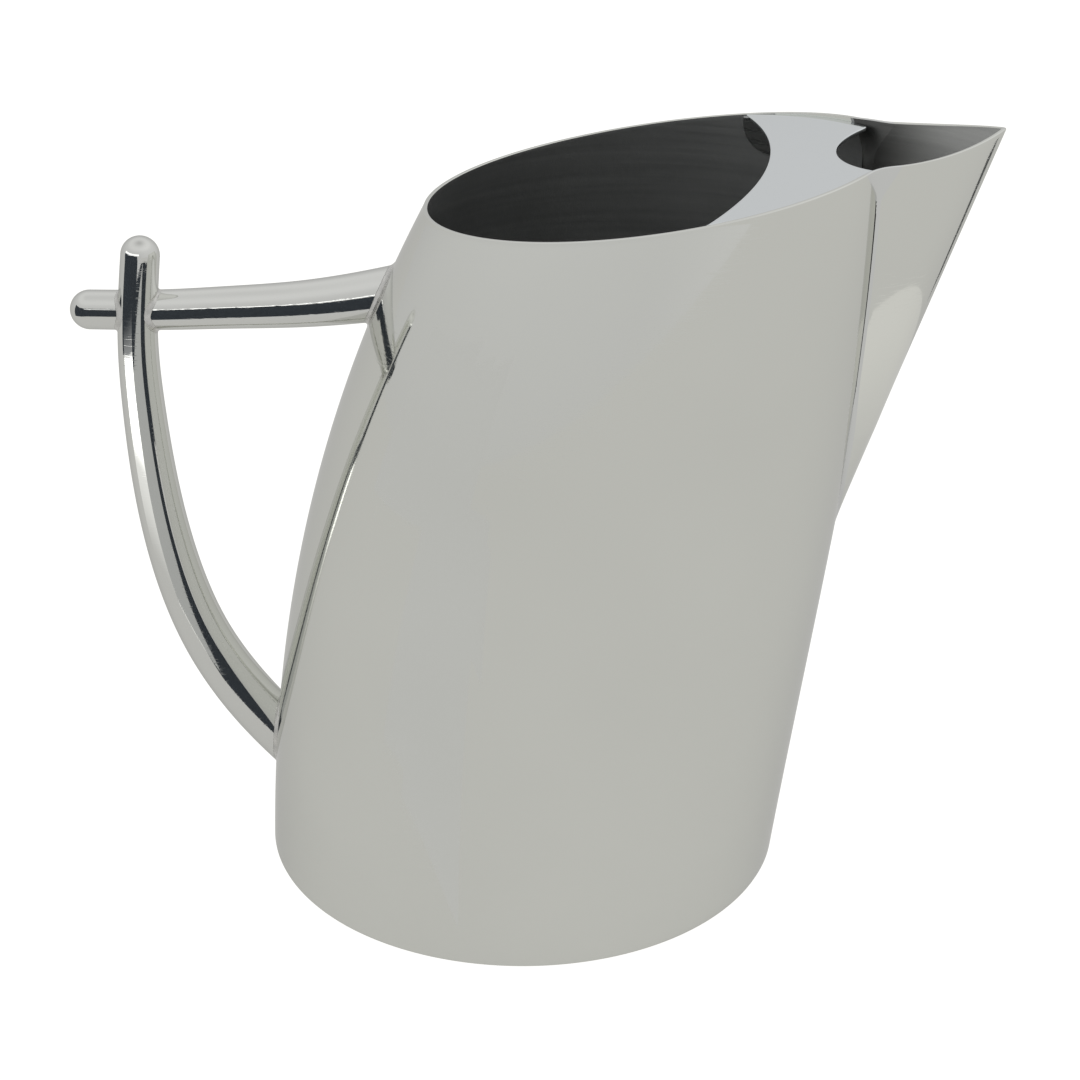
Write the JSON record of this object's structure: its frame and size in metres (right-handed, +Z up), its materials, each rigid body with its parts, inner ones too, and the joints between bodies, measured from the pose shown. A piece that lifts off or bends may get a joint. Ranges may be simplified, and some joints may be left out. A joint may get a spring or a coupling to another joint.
{
  "type": "water pitcher",
  "caption": "Leaning round-walled metal water pitcher with a folded pointed spout, a hollow-edged ice guard across the mouth and a handle of two crossed round rods.",
  "frame": {"origin": "middle of the round base, on the face it rests on", "axes": "+X towards the spout, +Z up, the handle is at -X; Y is across the pitcher and its mirror plane is Y = 0"},
  "size_m": [0.2182, 0.1316, 0.1877],
  "materials": {
    "polished_steel": "mirror polished",
    "guard_steel": "mirror polished",
    "handle_steel": "mirror polished",
    "weld_steel": "buffed weld, slightly uneven"
  },
  "bodies": {
    "root": {"body_shell": "polished_steel", "base_plate": "polished_steel", "base_seam_weld": "weld_steel", "spout": "polished_steel", "spout_seam_weld": "weld_steel", "ice_guard": "guard_steel", "guard_spot_weld_left": "weld_steel", "guard_spot_weld_right": "weld_steel", "handle_upper_rod": "handle_steel", "handle_lower_rod": "handle_steel", "upper_rod_weld": "weld_steel", "lower_rod_weld": "weld_steel", "crossing_weld": "weld_steel"}
  },
  "joints": []
}
